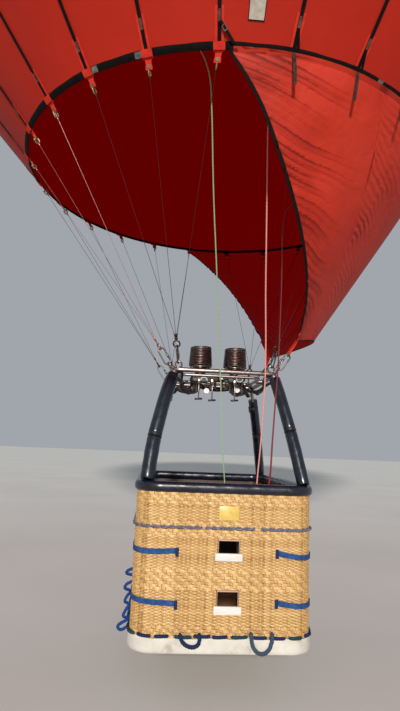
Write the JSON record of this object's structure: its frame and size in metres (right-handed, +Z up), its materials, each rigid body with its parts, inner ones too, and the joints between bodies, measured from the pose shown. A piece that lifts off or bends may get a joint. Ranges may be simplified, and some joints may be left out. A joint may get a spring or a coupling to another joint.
{
  "type": "hot air balloon",
  "caption": "Hot air balloon with a red gored envelope, a wind scoop, a gimballed twin burner and a woven basket on padded uprights.",
  "frame": {"origin": "centre of the envelope's lift, on its axis at the height of its widest ring", "axes": "+Z up, +X to the right of the basket end that has the plate, +Y from that end to the other"},
  "size_m": [17.4738, 17.4738, 22.258],
  "materials": {
    "envelope_cloth": "coated ripstop nylon, satin",
    "scoop_cloth": "flame-proof woven cloth, satin",
    "black_tape": "woven polyester tape",
    "stainless_steel": "brushed",
    "coil_steel": "heat-darkened",
    "brass": "machined",
    "hose_rubber": "braided",
    "padded_sleeve": "padded, soft gloss",
    "rim_leather": "padded, glossy",
    "hide": "raw hide",
    "wicker": "woven cane, satin",
    "plywood": "varnished",
    "cylinder_aluminium": "satin",
    "plate_plastic": "glossy"
  },
  "bodies": {
    "root": {"gore_pair_01": "envelope_cloth", "gore_pair_02": "envelope_cloth", "gore_pair_03": "envelope_cloth", "gore_pair_04": "envelope_cloth", "gore_pair_05": "envelope_cloth", "gore_pair_06": "envelope_cloth", "gore_pair_07": "envelope_cloth", "gore_pair_08": "envelope_cloth", "gore_pair_09": "envelope_cloth", "gore_pair_10": "envelope_cloth", "gore_pair_11": "envelope_cloth", "gore_pair_12": "envelope_cloth", "mouth_hem": "black_tape", "crown_ring": "black_tape", "karabiner_near_left_1": "stainless_steel", "flying_wires_near_left_1": "stainless_steel", "karabiner_near_left_2": "stainless_steel", "flying_wires_near_left_2": "stainless_steel", "upright_near_left": "padded_sleeve", "fuel_cylinder_near_left": "cylinder_aluminium", "karabiner_far_left_1": "stainless_steel", "flying_wires_far_left_1": "stainless_steel", "karabiner_far_left_2": "stainless_steel", "flying_wires_far_left_2": "stainless_steel", "upright_far_left": "padded_sleeve", "fuel_cylinder_far_left": "cylinder_aluminium", "karabiner_far_right_1": "stainless_steel", "flying_wires_far_right_1": "stainless_steel", "karabiner_far_right_2": "stainless_steel", "flying_wires_far_right_2": "stainless_steel", "upright_far_right": "padded_sleeve", "fuel_cylinder_far_right": "cylinder_aluminium", "karabiner_near_right_1": "stainless_steel", "flying_wires_near_right_1": "stainless_steel", "karabiner_near_right_2": "stainless_steel", "flying_wires_near_right_2": "stainless_steel", "upright_near_right": "padded_sleeve", "fuel_cylinder_near_right": "cylinder_aluminium", "burner_frame": "stainless_steel", "fuel_hose_left": "hose_rubber", "fuel_hose_right": "hose_rubber", "basket_floor": "plywood", "wall_near": "wicker", "wall_far": "wicker", "wall_left": "wicker", "wall_right": "wicker", "rim_roll": "rim_leather", "hide_skirt": "hide", "plate": "plate_plastic", "scoop": "scoop_cloth"},
    "parachute": {"parachute_valve": "envelope_cloth"},
    "gimbal": {"gimbal_frame": "stainless_steel"},
    "burner": {"burner_carrier": "stainless_steel", "burner_can_left": "coil_steel", "burner_can_right": "coil_steel", "valve_block_left": "brass", "valve_block_right": "brass"}
  },
  "joints": [
    {"name": "gimbal_tilt", "type": "hinge", "parent": "root", "child": "gimbal", "pos_m": [0, 0, -13.218], "axis": [1, 0, 0], "range_deg": [-10, 10]},
    {"name": "burner_tilt", "type": "hinge", "parent": "gimbal", "child": "burner", "pos_m": [0, 0, -13.218], "axis": [0, 1, 0], "range_deg": [-10, 10]},
    {"name": "valve_pull", "type": "slide", "parent": "root", "child": "parachute", "axis": [0, 0, -1], "range_m": [0, 1.6], "stiffness_N_per_m": 60, "springref_m": -1.6}
  ]
}
